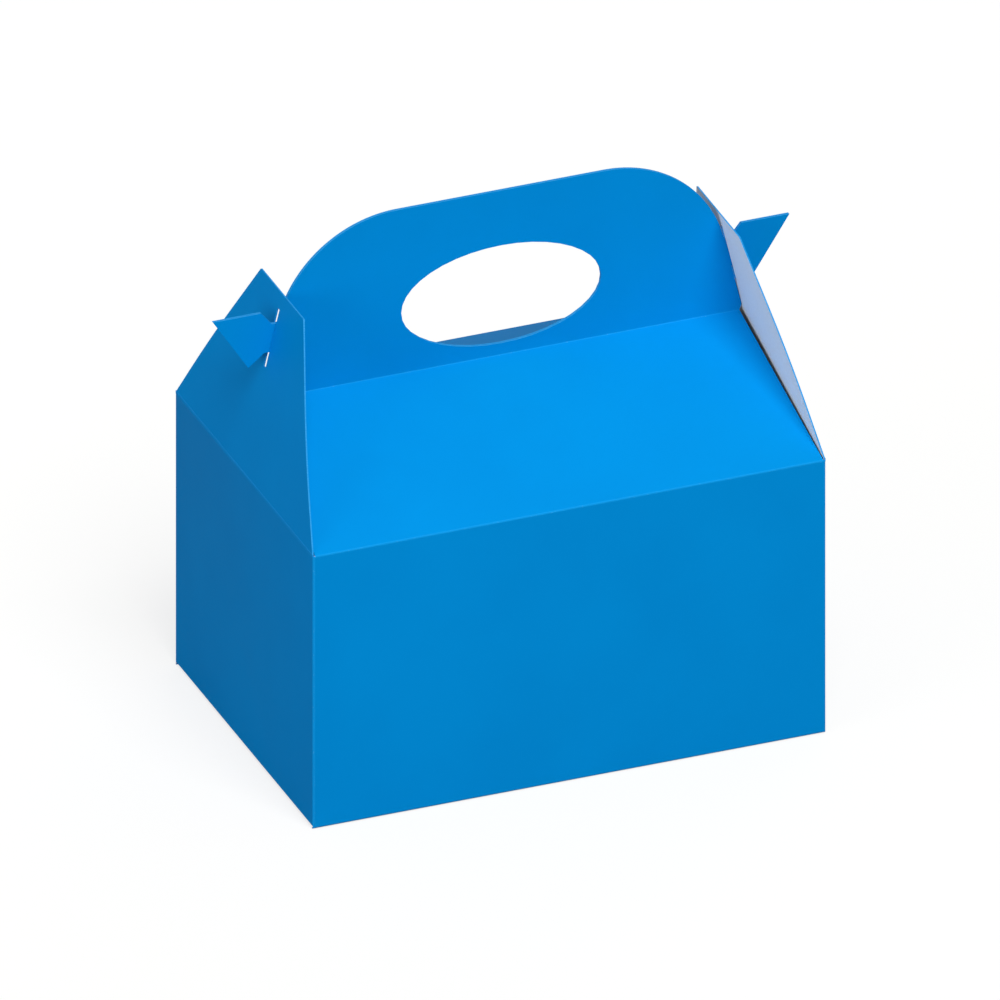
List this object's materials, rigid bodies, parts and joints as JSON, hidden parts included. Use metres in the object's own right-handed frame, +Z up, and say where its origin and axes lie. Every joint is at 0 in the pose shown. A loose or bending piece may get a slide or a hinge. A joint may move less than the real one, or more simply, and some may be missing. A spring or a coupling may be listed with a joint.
{
  "type": "gable gift box with handle",
  "caption": "Folded board gift box with a sloping roof, an upright carry handle with an oval hand hole, and end flaps that hook over tabs at the ends of the handle.",
  "frame": {"origin": "middle of the base, on the surface that the box stands on", "axes": "+X along the long side towards the right end, +Y from the front wall to the back wall, +Z up"},
  "size_m": [0.2584, 0.156, 0.241],
  "materials": {
    "printed_board": "solid bleached board, printed blue on the outside, unprinted grey-white inside"
  },
  "bodies": {
    "box": {"carton": "printed_board"},
    "left_flap": {"left_end_flap": "printed_board"},
    "right_flap": {"right_end_flap": "printed_board"}
  },
  "joints": [
    {"name": "left_flap_hinge", "type": "hinge", "parent": "box", "child": "left_flap", "pos_m": [-0.115, 0, 0.129], "axis": [0, -1, 0], "range_deg": [0, 135]},
    {"name": "right_flap_hinge", "type": "hinge", "parent": "box", "child": "right_flap", "pos_m": [0.115, 0, 0.129], "axis": [0, 1, 0], "range_deg": [0, 135]}
  ]
}
